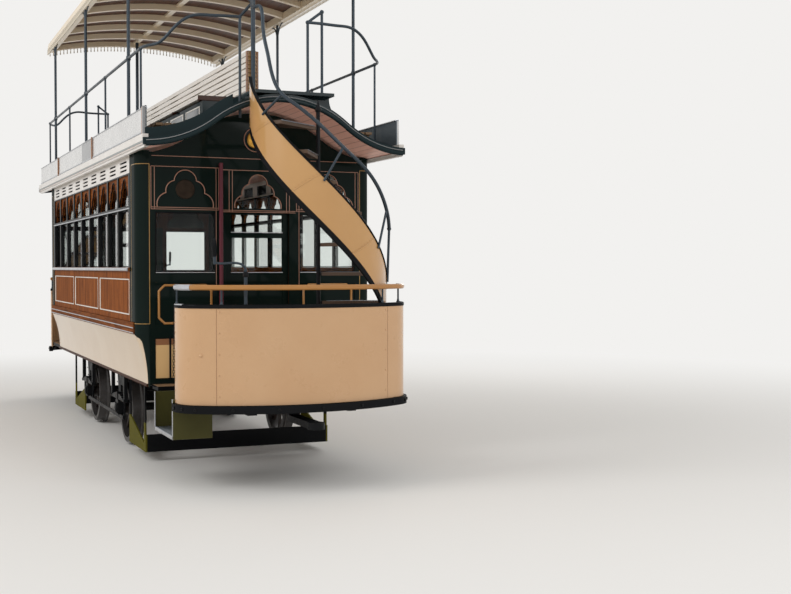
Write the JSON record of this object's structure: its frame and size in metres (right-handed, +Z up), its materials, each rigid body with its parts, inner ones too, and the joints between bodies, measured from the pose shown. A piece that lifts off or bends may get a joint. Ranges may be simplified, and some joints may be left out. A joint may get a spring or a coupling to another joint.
{
  "type": "double-deck horse-drawn tram car",
  "caption": "Double-deck tram car for horse haulage: windowed saloon, open upper deck with a knifeboard seat under an arched canopy, winding stairs and bowed end dashes.",
  "frame": {"origin": "centre of the car's box on the level of the wheel flange tips", "axes": "+X along the track towards the front platform, +Z up, -Y is the side with the front step"},
  "size_m": [8.284, 2.17, 4.4606],
  "materials": {
    "iron_black": "satin",
    "wheel_steel": "worn",
    "body_green": "gloss",
    "mahogany": "varnished",
    "cream_panel": "gloss",
    "ochre_panel": "gloss",
    "pale_paint": "painted",
    "floor_wood": "worn",
    "roof_boards": "painted",
    "olive_plate": "satin",
    "pole_red": "gloss",
    "canopy_steel": "satin",
    "clear_glass": "clear"
  },
  "bodies": {
    "root": {"arch_boards_left": "mahogany", "arch_boards_right": "mahogany", "axle_boxes": "iron_black", "axle_guards": "iron_black", "brake_columns": "iron_black", "bulkheads": "body_green", "bumpers": "iron_black", "canopy_frame": "pale_paint", "canopy_posts": "canopy_steel", "canopy_roof": "roof_boards", "canopy_valance": "pale_paint", "clerestory": "body_green", "corner_pillars": "body_green", "dash_handrails": "ochre_panel", "dash_rail_posts": "iron_black", "dash_rims": "iron_black", "dashes": "cream_panel", "decency_boards": "pale_paint", "deck_end_rails": "iron_black", "deck_side_rails": "iron_black", "deck_slats": "floor_wood", "drawbars": "iron_black", "eave_cornices": "pale_paint", "grab_poles": "pole_red", "hood_fascias": "body_green", "platforms": "floor_wood", "rocker_left": "cream_panel", "rocker_right": "cream_panel", "roof": "roof_boards", "saloon_benches": "floor_wood", "saloon_floor": "floor_wood", "seat_frames": "floor_wood", "seat_slats": "pale_paint", "springs": "iron_black", "stair_landings": "body_green", "stair_panels": "ochre_panel", "stair_rails": "iron_black", "stairs": "floor_wood", "step_wells": "olive_plate", "underframe": "iron_black", "vent_board_left": "pale_paint", "vent_board_right": "pale_paint", "waist_panels_left": "mahogany", "waist_panels_right": "mahogany", "waist_rails_left": "body_green", "waist_rails_right": "body_green", "wheel_guards": "iron_black", "window_frame_left": "body_green", "window_frame_right": "body_green", "window_glass": "clear_glass"},
    "wheelset_front": {"wheels_front": "wheel_steel", "axle_front": "wheel_steel"},
    "wheelset_rear": {"wheels_rear": "wheel_steel", "axle_rear": "wheel_steel"},
    "door_front": {"door_front": "body_green", "door_glass_front": "clear_glass"},
    "door_rear": {"door_rear": "body_green", "door_glass_rear": "clear_glass"}
  },
  "joints": [
    {"name": "wheelset_front_turn", "type": "hinge", "parent": "root", "child": "wheelset_front", "pos_m": [0.9, 0, 0.352], "axis": [0, 1, 0], "continuous": true},
    {"name": "wheelset_rear_turn", "type": "hinge", "parent": "root", "child": "wheelset_rear", "pos_m": [-0.9, 0, 0.352], "axis": [0, 1, 0], "continuous": true},
    {"name": "door_front_slide", "type": "slide", "parent": "root", "child": "door_front", "axis": [0, 1, 0], "range_m": [0, 0.54]},
    {"name": "door_rear_slide", "type": "slide", "parent": "root", "child": "door_rear", "axis": [0, -1, 0], "range_m": [0, 0.54]}
  ]
}
